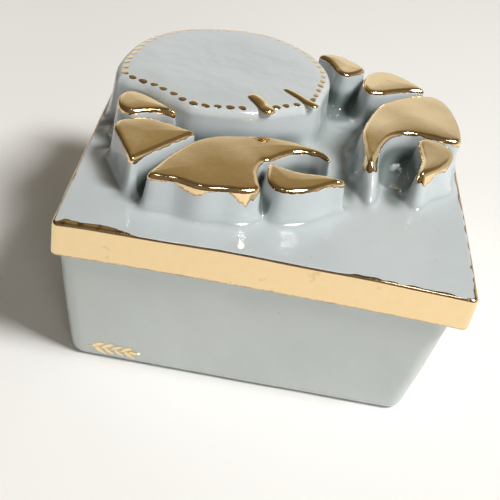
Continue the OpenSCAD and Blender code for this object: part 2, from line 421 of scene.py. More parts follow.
def lid_surface():
    """Points, normals, depth of pooled glaze and painted shade, and triangles of the lid's whole outer
    surface.
    """
    reach = SIDE_HALF + 2 * CELL
    xy = np.arange(-reach, reach + CELL, CELL)
    zs = np.arange(RIM_Z - 2 * CELL, SHELL_TOP + 3, CELL)
    gx, gy = np.meshgrid(xy, xy, indexing="ij")
    facts = plan_facts(np.stack([gx.ravel(), gy.ravel()], axis=1))
    values = np.stack([lid_distance(facts, z)[0] for z in zs], axis=1)
    values = values.reshape(len(xy), len(xy), len(zs))
    points, quads = grid_net(values, np.array([xy[0], xy[0], zs[0]]), CELL)
    for _ in range(2):
        value, pooled_and_shade, out = gradient(points)
        length = np.maximum((out**2).sum(1), 0.2)
        points -= (value / length)[:, None] * out
    value, pooled_and_shade, out = gradient(points)
    out /= np.linalg.norm(out, axis=1)[:, None]
    # The glaze darkens where it pools in creases and, as painted shade, deep in the relief's narrow
    # valleys.
    pooled_and_shade = np.maximum(0.4 * pooled_and_shade, valley_glaze_and_shade(points))
    triangles = np.concatenate([quads[:, [0, 1, 2]], quads[:, [0, 2, 3]]])
    return points, out, pooled_and_shade, triangles


# -------- cutting the surface into pieces

SNAP = 0.01  # points closer than this to a cut lie on it


class Sheet:
    """A triangle sheet that can be cut. Its points carry a normal and how deep the glaze has pooled and
    the painted shade there.
    """

    def __init__(self, points, normals, depth, triangles):
        self.points, self.normals, self.depth, self.triangles = points, normals, depth, triangles

    def cut(self, value):
        """Splits the sheet along value = 0 into the parts below and above, on shared points."""
        value = np.where(np.abs(value) < SNAP, 0, value)
        sign = np.sign(value).astype(int)
        t_sign = sign[self.triangles]
        low_part = self.triangles[(t_sign.max(1) <= 0) & (t_sign.min(1) < 0)]
        high_part = self.triangles[(t_sign.min(1) >= 0)]
        crossed = self.triangles[(t_sign.min(1) < 0) & (t_sign.max(1) > 0)]
        new = {}
        ends = []

        def between(a, b):
            key = (min(a, b), max(a, b))
            if key not in new:
                new[key] = len(self.points) + len(new)
                ends.append(key)
            return new[key]

        below, above = [], []
        for t in crossed.tolist():
            s = [sign[i] for i in t]
            odd = next(i for i in range(3) if s[i] and s[i - 1] != s[i] and s[i - 2] != s[i])
            a, b, c = t[odd], t[(odd + 1) % 3], t[(odd + 2) % 3]
            near, away = (below, above) if sign[a] < 0 else (above, below)
            if sign[b] == 0:
                m = between(a, c)
                near.append((a, b, m))
                away.append((b, c, m))
            elif sign[c] == 0:
                m = between(a, b)
                near.append((a, m, c))
                away.append((m, b, c))
            else:
                m, n = between(a, b), between(a, c)
                near.append((a, m, n))
                away += [(m, b, c), (m, c, n)]
        if ends:
            i, j = np.array(ends).T
            t = (value[i] / (value[i] - value[j]))[:, None]
            self.points = np.concatenate([self.points, self.points[i] * (1 - t) + self.points[j] * t])
            normal = self.normals[i] * (1 - t) + self.normals[j] * t
            normal /= np.linalg.norm(normal, axis=1)[:, None]
            self.normals = np.concatenate([self.normals, normal])
            depth = self.depth[i] * (1 - t[:, 0]) + self.depth[j] * t[:, 0]
            self.depth = np.concatenate([self.depth, depth])
        low_part = np.concatenate([low_part, np.array(below, int).reshape(-1, 3)])
        high_part = np.concatenate([high_part, np.array(above, int).reshape(-1, 3)])
        return low_part, high_part


def border_loops(triangles):
    """The open borders of a set of triangles, as loops of point numbers in the triangles' direction."""
    edges = np.concatenate([triangles[:, [0, 1]], triangles[:, [1, 2]], triangles[:, [2, 0]]])
    keys = edges[:, 0] * (edges.max() + 1) + edges[:, 1]
    back = edges[:, 1] * (edges.max() + 1) + edges[:, 0]
    open_edges = edges[~np.isin(keys, back)]
    following = {}
    for start, end in open_edges.tolist():
        following.setdefault(start, []).append(end)
    loops = []
    while following:
        at = start = next(iter(following))
        loop = []
        while at in following:
            loop.append(at)
            ends = following[at]
            then = ends.pop()
            if not ends:
                del following[at]
            at = then
        loops.append(np.array(loop))
    return loops


class Shape:
    """A mesh being put together from sheets, bands and flat faces, in millimetres."""

    def __init__(self):
        self.points, self.normals, self.values, self.faces, self.smooth = [], [], [], [], []
        self.count = 0

    def add(self, points, faces, normals=None, depth=None, smooth=None):
        """Adds points and faces. Points with a normal keep it, and others get the mesh's own."""
        points = np.asarray(points, float)
        smooth = normals is not None if smooth is None else smooth
        normals = np.zeros_like(points) if normals is None else normals
        depth = np.zeros(len(points)) if depth is None else depth
        used, faces = np.unique(faces, return_inverse=True)[0], np.asarray(faces)
        new_number = np.zeros(len(points), int)
        new_number[used] = np.arange(len(used)) + self.count
        self.points.append(points[used])
        self.normals.append(normals[used])
        self.values.append(depth[used])
        self.faces += new_number[faces].tolist()
        self.smooth += [smooth] * len(faces)
        self.count += len(used)

    def band(self, lower, upper, normals=None, depth=None, smooth=None):
        """Quads between two closed loops of as many points, facing outward if they run anticlockwise."""
        n = len(lower)
        i = np.arange(n)
        j = (i + 1) % n
        faces = np.stack([i, j, j + n, i + n], axis=1)
        self.add(np.concatenate([lower, upper]), faces, normals, depth, smooth)

    def flat(self, loops, z, up):
        """A face between closed loops, with the even-odd rule. z is its height or a function for it."""
        xy = np.concatenate([loop[:, :2] for loop in loops])
        edges, start = [], 0
        for loop in loops:
            i = np.arange(len(loop))
            edges += np.stack([i + start, (i + 1) % len(loop) + start], axis=1).tolist()
            start += len(loop)
        found = delaunay_2d_cdt([Vector(q) for q in xy], edges, [], 1, 1e-6)
        flat_points, triangles, origins = np.array(found[0])[:, :2], found[2], found[3]
        for i, same in enumerate(origins):
            if same:
                flat_points[i] = xy[same[0]]
        triangles = np.array([list(t) for t in triangles])
        middle = flat_points[triangles].mean(1)
        triangles = triangles[is_inside(middle, loops)]
        a, b, c = (flat_points[triangles[:, k]] for k in range(3))
        turn = (b[:, 0] - a[:, 0]) * (c[:, 1] - a[:, 1]) - (b[:, 1] - a[:, 1]) * (c[:, 0] - a[:, 0])
        triangles = np.where(((turn > 0) == up)[:, None], triangles, triangles[:, ::-1])
        self.add(at_height(flat_points, z(flat_points) if callable(z) else z), triangles)

    def piece(self, name, materials, node_names, slot, body, material_of=None):
        """Makes the Blender object that stands for the CAD nodes named."""
        points = np.concatenate(self.points)
        normals = np.concatenate(self.normals)
        depth = np.concatenate(self.values)
        keys = np.round(points / WELD).astype(np.int64)
        _, first, same = np.unique(keys, axis=0, return_index=True, return_inverse=True)
        same = same.ravel()
        faces, smooth, loop_normals = [], [], []
        for face, is_smooth in zip(self.faces, self.smooth):
            kept = [i for k, i in enumerate(face) if same[i] != same[face[k - 1]]]
            if len(kept) > 2:
                faces.append([int(same[i]) for i in kept])
                smooth.append(is_smooth)
                loop_normals.append(normals[kept])
        mesh = bpy.data.meshes.new(name)
        mesh.from_pydata((points[first] * MM).tolist(), [], faces)
        mesh.polygons.foreach_set("use_smooth", smooth)
        # The attribute made here darkens the colour: pooled glaze and painted shade on the porcelain, thin
        # gold at a film's border.
        darkening = mesh.attributes.new("darkening", "FLOAT", "POINT")
        darkening.data.foreach_set("value", depth[first].astype(np.float32))
        if material_of:
            centres = np.array([p.center for p in mesh.polygons]) / MM
            facing = np.array([p.normal for p in mesh.polygons])
            mesh.polygons.foreach_set("material_index", material_of(centres, facing))
        mesh.set_sharp_from_angle(angle=math.radians(35))
        mesh.normals_split_custom_set(np.concatenate(loop_normals).tolist())
        return placed(name, mesh, materials, node_names, body)


def placed(name, mesh, materials, node_names, body):
    """Puts a mesh in the scene as a piece that rides on a CAD body and stands for CAD nodes."""
    for material in materials:
        mesh.materials.append(material)
    piece = bpy.data.objects.new(name, mesh)
    bpy.context.scene.collection.objects.link(piece)
    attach(piece, body)
    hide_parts(*node_names)
    return piece


# -------- the lid

WELD = 1e-4  # points closer than this become one
SEAT_Z = LID_TOP - 1.5  # floor of the seats that the relief sits in
SEAT_REACH = 1.8  # how far a seat reaches past the relief's outline
SEAT_EDGE = 1.7  # how far a seat stays from the lid's side
SHELL_SEAT_EDGE = 0.9  # the same for the shell, whose wall is further in
RIM_STRIP = 0.9  # width of the lid's underside that the glazed surface includes
RECESS_Z = LID_TOP - 4.5
FLANGE_HALF = 42.6
FLANGE_T = 3.0


def anticlockwise(loop):
    x, y = loop.T
    area = (x * np.roll(y, -1) - y * np.roll(x, -1)).sum()
    return loop if area > 0 else loop[::-1]


HOLLOW = anticlockwise(min(loops_at("carapace", low("carapace")), key=lambda loop: np.ptp(loop[:, 0])))


def at_height(loop, z):
    return np.column_stack([loop[:, :2], np.broadcast_to(z, len(loop))])


def square_ring(half, radius, centre_x, straight=30, curve=8):
    """Points round a square with round corners, anticlockwise, denser in the corners."""
    ring = []
    for quarter in range(4):
        turn = quarter * math.pi / 2
        line = np.linspace(-(half - radius), half - radius, straight, endpoint=False)
        arc = np.arange(curve) / curve * math.pi / 2
        x = np.concatenate([line, half - radius + radius * np.sin(arc)])
        y = np.concatenate([np.full(straight, -half), -(half - radius) - radius * np.cos(arc)])
        ring.append(np.column_stack([x * math.cos(turn) - y * math.sin(turn),
                                     x * math.sin(turn) + y * math.cos(turn)]))
    return np.concatenate(ring) + [centre_x, 0]


def relief_pieces(surface, materials):
    """Cuts the relief's blocks from the glazed surface and returns the plate's own triangles."""
    rest = surface.triangles
    for name in BLOCKS:
        xy = surface.points[:, :2]
        own = look_up(MAP[name], xy)
        others = np.min([look_up(MAP[other], xy) for other in BLOCKS if other != name], axis=0)
        edge = square_distance(xy, SIDE_HALF, LID_CORNER_R)
        edge += SHELL_SEAT_EDGE if name == "carapace" else SEAT_EDGE
        value = np.max([own - SEAT_REACH, own - others, edge], axis=0)
        value = np.where(surface.points[:, 2] < RECESS_Z, FAR, value)
        surface.triangles = rest
        own_part, rest = surface.cut(value)
        shape = Shape()
        shape.add(surface.points, own_part, surface.normals, surface.depth)
        loops = [surface.points[i] for i in border_loops(own_part)]
        for loop in loops:
            shape.band(at_height(loop, SEAT_Z), loop)
        if name == "carapace":
            loops.append(HOLLOW)
            add_hollow(shape)
        shape.flat(loops, SEAT_Z, up=False)
        shape.piece(name + "_porcelain", materials, [name], "lid_glaze", "lid")
    return rest


def add_hollow(shape):
    """The hollow inside the shell, from its seat to a round-edged ceiling."""
    centre = HOLLOW.mean(0)
    ceiling = SHELL_TOP - 4
    steps = [(1, SEAT_Z), (1, ceiling - 1.6), (0.992, ceiling - 0.8), (0.975, ceiling - 0.25),
             (0.94, ceiling)]
    rings = [at_height(centre + (HOLLOW - centre) * scale, z) for scale, z in steps]
    for below, above in zip(rings, rings[1:]):
        shape.band(above, below, smooth=True)
    shape.flat([rings[-1]], ceiling, up=False)


def lid_plate_piece(surface, triangles, materials):
    """The plate under the relief: seats, recess, locating flange and the rim that rests on the base."""
    shape = Shape()
    loops = border_loops(triangles)
    outer = next(i for i in loops if surface.points[i, 2].max() < RECESS_Z)
    surface.points[outer, 2] = rim_height(surface.points[outer, :2])
    seats = [surface.points[i] for i in loops if surface.points[i, 2].max() > RECESS_Z]
    shape.add(surface.points, triangles, surface.normals, surface.depth)
    for loop in seats:
        shape.band(at_height(loop, SEAT_Z), loop)
    shape.flat([*seats, HOLLOW], SEAT_Z, up=True)
    shape.band(at_height(HOLLOW, SEAT_Z), at_height(HOLLOW, RECESS_Z))
    inner = FLANGE_HALF - FLANGE_T
    profile = [(FLANGE_HALF, None), (FLANGE_HALF, FLANGE_Z + 0.6), (FLANGE_HALF - 0.15, FLANGE_Z + 0.2),
               (FLANGE_HALF - 0.6, FLANGE_Z), (inner + 0.6, FLANGE_Z), (inner + 0.15, FLANGE_Z + 0.2),
               (inner, FLANGE_Z + 0.6), (inner, RECESS_Z - 0.9), (inner - 0.25, RECESS_Z - 0.25),
               (inner - 0.9, RECESS_Z)]
    rings = []
    for half, z in profile:
        ring = square_ring(half, 5 * half / FLANGE_HALF, BASE_X)
        rings.append(at_height(ring, rim_height(ring) if z is None else z))
    for first, then in zip(rings, rings[1:]):
        shape.band(then, first, smooth=True)
    shape.flat([surface.points[outer], rings[0]], rim_height, up=False)
    shape.flat([rings[-1], HOLLOW], RECESS_Z, up=False)
    shape.piece("lid_plate_porcelain", materials, ["lid_plate"], "lid_glaze", "lid")


# -------- gold films

FILM_OUT = 0.07  # how far a gold film stands above the porcelain
FILM_IN = 0.05  # how far its back reaches into the porcelain
FILM_FRAY = 0.7  # the film thins out over this distance from its border
GOLD_WRAP = 0.85  # how far the gold runs down from a block's top

# Places where the gold ran further down a wall: block, x, y, reach round it, extra run
DRIPS = [
    ("left_claw_palm", -20, -39.5, 3.2, 2.2), ("left_claw_palm", -7, -38, 3, 3.2),
    ("left_claw_palm", -30, -38, 3, 0.8), ("left_arm_outer", -35, -34, 3, 1.2),
    ("left_arm_inner", -29, -10, 3, 1.0), ("left_arm_inner", -42, -12, 3, 1.0),
    ("left_claw_thumb", 16, -25, 3, 1.0), ("right_claw_palm", 23, -11.5, 2.5, 3.5),
    ("right_claw_palm", 48.5, 9, 3, 1.5), ("right_claw_thumb", 37.5, -13, 3, 3.0),
    ("right_claw_thumb", 43, -8, 3, 1.0),
]


def gold_film(surface, value, name, materials, node_names):
    """A thin gold piece over the part of the surface where value is below zero."""
    triangles, _ = surface.cut(value)
    value = value_at_cut(surface, value)
    film = ease(-value, 0, FILM_FRAY)
    out = surface.points + surface.normals * (0.015 + (FILM_OUT - 0.015) * film)[:, None]
    back = surface.points - surface.normals * FILM_IN
    shape = Shape()
    thin = 1 - ease(-value, 0, 0.7 * FILM_FRAY)
    shape.add(out, triangles, surface.normals, thin)
    shape.add(back, triangles[:, ::-1])
    for i in border_loops(triangles):
        shape.band(back[i], out[i], depth=np.ones(2 * len(i)))
    shape.piece(name, materials, node_names, "gold_lustre", "lid")


def value_at_cut(surface, value):
    """The cut's value at all points, with zero at the points that the cut made."""
    return np.concatenate([value, np.zeros(len(surface.points) - len(value))])


def relief_golds(surface, materials):
    """The gold on the tops of the arms and claws, with its ragged lower border."""
    whole = surface.triangles
    start = Sheet(surface.points, surface.normals, surface.depth, whole)
    xy, z = start.points[:, :2], start.points[:, 2]
    facts = plan_facts(xy)
    distances = {n: block_distance(facts, n, z) for n in BLOCKS}
    streaks = 0.5 + 0.5 * ripple(xy, 1.3, 21)
    for seed, (name, gold_node) in enumerate(GOLD_OF.items()):
        top = facts[name][1]
        wrap = GOLD_WRAP + 0.14 * ripple(xy, 3, 30 + seed) + 0.06 * streaks
        for block, x, y, reach, extra in DRIPS:
            if block == name:
                near = np.exp(-((xy - [x, y]) ** 2).sum(1) / reach**2)
                wrap = wrap + extra * near * (0.75 + 0.35 * streaks)
        others = np.min([distances[n] for n in BLOCKS if n != name] + [z - facts["plate"]], axis=0)
        value = np.max([top - z - wrap, distances[name] - others - 0.05], axis=0)
        film = Sheet(start.points, start.normals, start.depth, whole)
        gold_film(film, value, gold_node + "_film", materials, [gold_node])


def edge_band(surface, materials):
    """The gold round the lid's edge. It runs over the top edge by an uneven amount."""
    xy, z = surface.points[:, :2], surface.points[:, 2]
    x, y = xy.T
    side = square_distance(xy, SIDE_HALF, LID_CORNER_R)
    facts = plan_facts(xy)
    over = 0.45 + 0.25 * ripple(xy, 9, 41) + 0.1 * ripple(xy, 1.6, 42)
    front = -y > np.abs(x)
    right = x > np.abs(y)
    left_end = ease(-x, 29, 38)
    middle = ease(x, -36, -30) * ease(-x, -22, -16)
    right_end = ease(x, 16, 24) * (0.5 + 0.5 * ripple(xy, 4, 46))
    over = np.where(front, over * (1 - 0.8 * middle) + 1.5 * left_end + 0.5 * right_end, over)
    gap = ease(y, -46, -42) * ease(-y, 8, 12) * (0.5 + 0.5 * ripple(xy, 5, 43))
    over = np.where(right, over + 0.35 - 0.7 * gap, over)
    on_side = np.maximum(-side, 0) - np.maximum(facts["plate"] - z, 0) - over
    above = z - facts["plate"] - np.maximum(0.5 - 0.5 * ripple(xy, 3, 44), 0.1)
    below = facts["rim"] + 0.25 - z + 0.08 * ripple(xy, 2, 45)
    value = np.max([on_side, above, below], axis=0)
    band = Sheet(surface.points, surface.normals, surface.depth, surface.triangles)
    gold_film(band, value, "lid_edge_gold_film", materials, ["lid_edge_gold"])


# -------- beads of gold: eyes, dots, leaves


def surface_height(xy):
    """How high the lid's surface is at points of the plan."""
    facts = plan_facts(xy)
    low_z = np.full(len(xy), RIM_Z + 4.0)
    high_z = np.full(len(xy), SHELL_TOP + 3.0)
    for _ in range(22):
        z = (low_z + high_z) / 2
        inside = lid_distance(facts, z)[0] < 0
        low_z = np.where(inside, z, low_z)
        high_z = np.where(inside, high_z, z)
    return (low_z + high_z) / 2


def tube(shape, path, up, widths, heights, sides=20):
    """A closed tube along a path, with an elliptic section: half widths across, half heights up."""
    ahead = np.gradient(path, axis=0)
    ahead /= np.linalg.norm(ahead, axis=1)[:, None]
    across = np.cross(ahead, up)
    across /= np.linalg.norm(across, axis=1)[:, None]
    lift = np.cross(across, ahead)
    angles = np.arange(sides) / sides * 2 * math.pi
    rings = [c + w * np.outer(np.cos(angles), a) + h * np.outer(np.sin(angles), u)
             for c, a, u, w, h in zip(path, across, lift, widths, heights)]
    for first, then in zip(rings, rings[1:]):
        shape.band(then, first, smooth=True)
    for ring, backwards in ((rings[0], True), (rings[-1], False)):
        fan = [[0, 1 + i, 1 + (i + 1) % sides] for i in range(sides)]
        cap = [f[::-1] for f in fan] if backwards else fan
        shape.add(np.concatenate([[ring.mean(0)], ring]), [f[::-1] for f in cap], smooth=True)
    return rings


def draped_path(start, end, drop, lift, count):
    """Points along a straight plan line, lying on the lid and falling by at most drop."""
    line = np.linspace(start, end, 300)
    z = surface_height(line)
    z = np.maximum(z, z[:20].mean() - drop)
    path = np.column_stack([line, z + lift])
    run = np.concatenate([[0], np.cumsum(np.linalg.norm(np.diff(path, axis=0), axis=1))])
    even = np.linspace(0, run[-1], count)
    path = np.column_stack([np.interp(even, run, path[:, k]) for k in range(3)])
    for _ in range(16):
        path[1:-1] = (path[:-2] + 2 * path[1:-1] + path[2:]) / 4
    return path


def eye_piece(name, start, end, drop, widths, materials):
    """A raised gold stroke from the shell's top over its rim, with a thick round end."""
    count = 40
    t = np.linspace(0, 1, count)
    path = draped_path(start, end, drop, 0.15, count)
    round_ends = np.sqrt(np.clip(1 - (2 * t - 1) ** 12, 0.02, 1))
    width = np.interp(t, [0, 0.35, 0.75, 1], widths) * round_ends * (1 + 0.05 * np.sin(9 * t))
    shape = Shape()
    tube(shape, path, np.array([0, 0, 1.0]), width, 0.42 * width)
    shape.piece(name + "_bead", materials, [name], "gold_lustre", "lid")


def dome(shape, outline, lift, sink, place):
    """A low closed dome over a flat outline. place(plan points, heights) gives the points' places."""
    centre = outline.mean(0)
    steps = [(1.0, -sink), (1.0, 0.0), (0.93, 0.45), (0.78, 0.74), (0.55, 0.91), (0.28, 0.98)]
    rings = []
    for scale, height in steps:
        ring = centre + (outline - centre) * scale
        rings.append(place(ring, np.full(len(ring), height if height < 0 else height * lift)))
    for below, above in zip(rings, rings[1:]):
        shape.band(below, above, smooth=True)
    n = len(outline)
    fan = np.array([[n, i, (i + 1) % n] for i in range(n)])
    shape.add(np.concatenate([rings[-1], place(centre[None], np.array([lift]))]), fan, smooth=True)
    shape.add(np.concatenate([rings[0], place(centre[None], np.array([-sink]))]), fan[:, ::-1])


def on_lid(plan, height):
    return np.column_stack([plan, surface_height(plan) + height])


def dots_piece(materials):
    """The row of gold dots inside the shell's rim, each a little different."""
    shape = Shape()
    centres = [loop.mean(0) for loop in loops_at("carapace_dots", high("carapace_dots"))]
    angles = np.arange(18) / 18 * 2 * math.pi
    for centre in centres:
        nearest = sorted(centres, key=lambda c: np.linalg.norm(c - centre))[1]
        along = math.atan2(*(nearest - centre)[::-1])
        length, width = RANDOM.uniform(1.0, 1.3), RANDOM.uniform(0.78, 0.95)
        wobble = 1 + 0.06 * np.sin(2 * angles + RANDOM.uniform(0, 6))
        wobble = wobble + 0.05 * np.sin(3 * angles + RANDOM.uniform(0, 6))
        x, y = length * np.cos(angles) * wobble, width * np.sin(angles) * wobble
        turned = np.column_stack([x * math.cos(along) - y * math.sin(along),
                                  x * math.sin(along) + y * math.cos(along)])
        middle = centre + RANDOM.uniform(-0.15, 0.15, 2)
        dome(shape, middle + turned, RANDOM.uniform(0.04, 0.06), 0.15, on_lid)
    shape.piece("carapace_dots_gold", materials, ["carapace_dots"], "gold_lustre", "lid")


# -------- the base

RIM_POINTS = np.array([v.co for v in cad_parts["box_base"].data.vertices]) / MM - [BASE_X, 0, 0]
RIM_REACH = np.abs(RIM_POINTS[RIM_POINTS[:, 2] > RIM_Z - 0.01, :2]).max(1)
WALL_T = BASE_TOP_HALF - RIM_REACH[RIM_REACH < BASE_TOP_HALF - 2].max()
FOOT_HALF = max(np.ptp(loop[:, 0]) for loop in loops_at("box_base", low("box_base"))) / 2
BASE_R = 4.6
FOOT_RECESS_Z = 0.8
FLOOR_Z = 5.0
FOOT_RING_W = 5.0
JOINT_GAP = 0.25  # hairline between the base's rim and the lid


def outer_half(z):
    return FOOT_HALF + (BASE_TOP_HALF - FOOT_HALF) * (z - FOOT_RECESS_Z) / (RIM_Z - FOOT_RECESS_Z)


def wall_wave(plan, z):
    """How far the hand-made wall bulges at a place."""
    return 0.16 * ripple(np.column_stack([plan[:, 0] + 0.4 * z, plan[:, 1] - 0.6 * z]), 26, 51)


def base_ring(half, z, wave):
    """A ring of the base at one height, bulging with the wall and bowed up under the lid."""
    ring = square_ring(half, BASE_R * half / BASE_TOP_HALF, BASE_X, straight=44, curve=12)
    outward = ring - [BASE_X, 0]
    outward /= np.linalg.norm(outward, axis=1)[:, None]
    ring = ring + outward * (wave * wall_wave(ring, z))[:, None]
    bow = (rim_height(ring) - RIM_Z - JOINT_GAP) * ease(z, 12, RIM_Z)
    return at_height(ring, z + bow)


def base_piece(materials):
    """The base: storage cavity, rim, tapered wall, rounded foot, and the recess inside the foot ring."""
    inner_foot = outer_half(FLOOR_Z) - WALL_T
    profile = [(inner_foot - 4, FLOOR_Z, 0), (inner_foot - 2.2, FLOOR_Z + 0.25, 0)]
    profile += [(inner_foot - 0.9, FLOOR_Z + 1.0, 0), (inner_foot, FLOOR_Z + 2.8, 0)]
    rim = RIM_Z - 0.5
    profile += [(outer_half(z) - WALL_T, z, 0) for z in np.linspace(FLOOR_Z + 6, rim, 8)]
    profile += [(BASE_TOP_HALF - WALL_T + 0.2, RIM_Z - 0.15, 0), (BASE_TOP_HALF - WALL_T + 0.6, RIM_Z, 0)]
    profile += [(BASE_TOP_HALF - 0.6, RIM_Z, 0), (BASE_TOP_HALF - 0.17, RIM_Z - 0.15, 0)]
    profile += [(outer_half(z), z, 1) for z in np.linspace(rim, 2.6, 26)]
    foot = outer_half(0.8)
    profile += [(foot + 0.1, 1.9, 1), (foot - 0.1, 1.2, 1), (foot - 0.5, 0.6, 0.6), (foot - 1.1, 0.2, 0.3)]
    profile += [(foot - 1.9, 0, 0), (foot - FOOT_RING_W + 0.6, 0, 0), (foot - FOOT_RING_W + 0.2, 0.15, 0)]
    profile += [(foot - FOOT_RING_W, 0.4, 0), (foot - FOOT_RING_W - 0.3, FOOT_RECESS_Z, 0)]
    rings = [base_ring(*step) for step in profile]
    shape = Shape()
    for first, then in zip(rings, rings[1:]):
        shape.band(then, first, smooth=True)
    shape.flat([rings[0]], FLOOR_Z, up=True)
    shape.flat([rings[-1]], FOOT_RECESS_Z, up=False)

    def bare(centres, normals):
        """1 where the clay is left unglazed: the foot ring's sole and the top of the rim."""
        sole = (centres[:, 2] < 0.1) & (normals[:, 2] < -0.9)
        rim_top = (centres[:, 2] > RIM_Z - 0.1) & (normals[:, 2] > 0.9)
        return (sole | rim_top).astype(int)

    shape.piece("box_base_porcelain", materials, ["box_base"], "base_glaze", "box", bare)


def sprig_piece(materials):
    """A small painted leaf sprig in raised gold, low on the base's front wall."""
    low_corner, high_corner = (np.array(c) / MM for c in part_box("base_sprig"))
    length = high_corner[0] - low_corner[0]
    middle_z = (low_corner[2] + high_corner[2]) / 2 + 0.6
    leaf_length, leaf_width, leaf_pairs = 0.27 * length, 0.085 * length, 4

    def on_wall(plan, height):
        x, z = low_corner[0] + plan[:, 0], middle_z + plan[:, 1]
        spot = np.column_stack([x, -outer_half(z)])
        return np.column_stack([x, spot[:, 1] - wall_wave(spot, z) - height, z])

    t = np.linspace(0, 1, 13)[1:-1]
    side = 0.5 * leaf_width * np.sin(math.pi * t) ** 0.8
    leaf = np.column_stack([np.concatenate([[0], t, [1], t[::-1]]) * leaf_length,
                            np.concatenate([[0], -side, [0], side[::-1]])])
    shape = Shape()
    places = [(length - leaf_length, 0.0)]
    for pair in range(leaf_pairs):
        start = (pair + 0.4) * (length - leaf_length) / leaf_pairs
        places += [(start, math.radians(34)), (start + 0.5, math.radians(-34))]
    for start, turn in places:
        size = RANDOM.uniform(0.9, 1.08)
        c, s = size * math.cos(turn), size * math.sin(turn)
        turned = leaf @ np.array([[c, s], [-s, c]]) + [start, 0]
        dome(shape, turned, 0.2, 0.15, on_wall)
    stem_t = np.linspace(0, length - 0.6 * leaf_length, 26)
    stem = on_wall(np.column_stack([stem_t, 0 * stem_t]), np.full(26, 0.03))
    thickness = np.interp(stem_t, [0, 0.5, stem_t[-1]], [0.1, 0.2, 0.12])
    tube(shape, stem, np.array([0, -1.0, 0]), thickness, 0.6 * thickness, sides=10)
    shape.piece("base_sprig_gold", materials, ["base_sprig"], "gold_lustre", "box")


# -------- materials


class Nodes:
    """A node tree that is built up node by node."""

    def __init__(self, tree):
        self.tree = tree

    def add(self, kind, **settings):
        node = self.tree.nodes.new(kind)
        for key, value in settings.items():
            setattr(node, key, value)
        return node

    def link(self, source, target):
        self.tree.links.new(source, target)

    def remap(self, value, start, end, low_out, high_out):
        node = self.add("ShaderNodeMapRange", interpolation_type="SMOOTHSTEP")
        self.link(value, node.inputs["Value"])
        keys = ("From Min", "From Max", "To Min", "To Max")
        for key, number in zip(keys, (start, end, low_out, high_out)):
            node.inputs[key].default_value = number
        return node.outputs["Result"]

    def mix(self, factor, a, b):
        """A colour between a and b, each a colour or a socket."""
        node = self.add("ShaderNodeMix", data_type="RGBA")
        self.link(factor, node.inputs["Factor"])
        for socket, value in ((node.inputs[6], a), (node.inputs[7], b)):
            if isinstance(value, tuple):
                socket.default_value = (*value, 1)
            else:
                self.link(value, socket)
        return node.outputs[2]


class Finish(Nodes):
    """A Principled material."""

    def __init__(self, name):
        self.material = bpy.data.materials.new(name)
        self.material.use_nodes = True
        super().__init__(self.material.node_tree)
        self.shader = self.tree.nodes["Principled BSDF"]
        self.place = self.add("ShaderNodeTexCoord").outputs["Object"]

    def noise(self, scale, detail=3.0, roughness=0.5, distortion=0.0, place=None):
        """Noise from 0 to 1 over the object. scale is in features per metre."""
        node = self.add("ShaderNodeTexNoise")
        self.link(self.place if place is None else place, node.inputs["Vector"])
        for key, value in (("Scale", scale), ("Detail", detail), ("Roughness", roughness),
                           ("Distortion", distortion)):
            node.inputs[key].default_value = value
        return node.outputs["Fac"]

    def math(self, operation, a, b):
        node = self.add("ShaderNodeMath", operation=operation)
        for socket, value in zip(node.inputs, (a, b)):
            if isinstance(value, (int, float)):
                socket.default_value = value
            else:
                self.link(value, socket)
        return node.outputs[0]

    def attribute(self, name):
        return self.add("ShaderNodeAttribute", attribute_name=name).outputs["Fac"]

    def bump(self, height, distance, below=None):
        """A bump of the given depth in metres, on top of another one."""
        node = self.add("ShaderNodeBump")
        node.inputs["Distance"].default_value = distance
        self.link(height, node.inputs["Height"])
        if below is not None:
            self.link(below, node.inputs["Normal"])
        return node.outputs["Normal"]

    def finish(self, **sockets):
        """Sets the shader's sockets by name, with _ for spaces, and returns the material."""
        for key, value in sockets.items():
            socket = self.shader.inputs[key.replace("_", " ")]
            if isinstance(value, bpy.types.NodeSocket):
                self.link(value, socket)
            elif isinstance(value, tuple):
                socket.default_value = (*value, 1)
            else:
                socket.default_value = value
        return self.material


def glaze_finish(name, clear, pooled_and_shade, cloud):
    """Glossy celadon-white glaze: deeper colour where it pools and as painted shade in the relief's
    valleys, soft clouds, and a few iron specks.
    """
    f = Finish(name)
    colour = f.mix(f.remap(f.noise(38, 4), 0.35, 0.68, 0, 1), clear, cloud)
    # Painted shade and pooled glaze: the darkening attribute mixes in the dark pooled colour.
    colour = f.mix(f.remap(f.attribute("darkening"), 0.0, 0.85, 0, 1), colour, pooled_and_shade)
    speck = f.remap(f.noise(900, 1), 0.785, 0.8, 0, 0.75)
    speck = f.math("MULTIPLY", speck, f.remap(f.noise(60, 1), 0.5, 0.6, 0, 1))
    colour = f.mix(speck, colour, (0.16, 0.13, 0.10))
    waves = f.bump(f.noise(110, 2), 0.00035)
    pits = f.bump(f.remap(f.noise(1500, 1), 0.72, 0.8, 1, 0), 0.00002, waves)
    roughness = f.remap(f.noise(300, 4), 0.3, 0.7, 0.07, 0.13)
    return f.finish(Base_Color=colour, Roughness=roughness, Normal=pits, IOR=1.52)


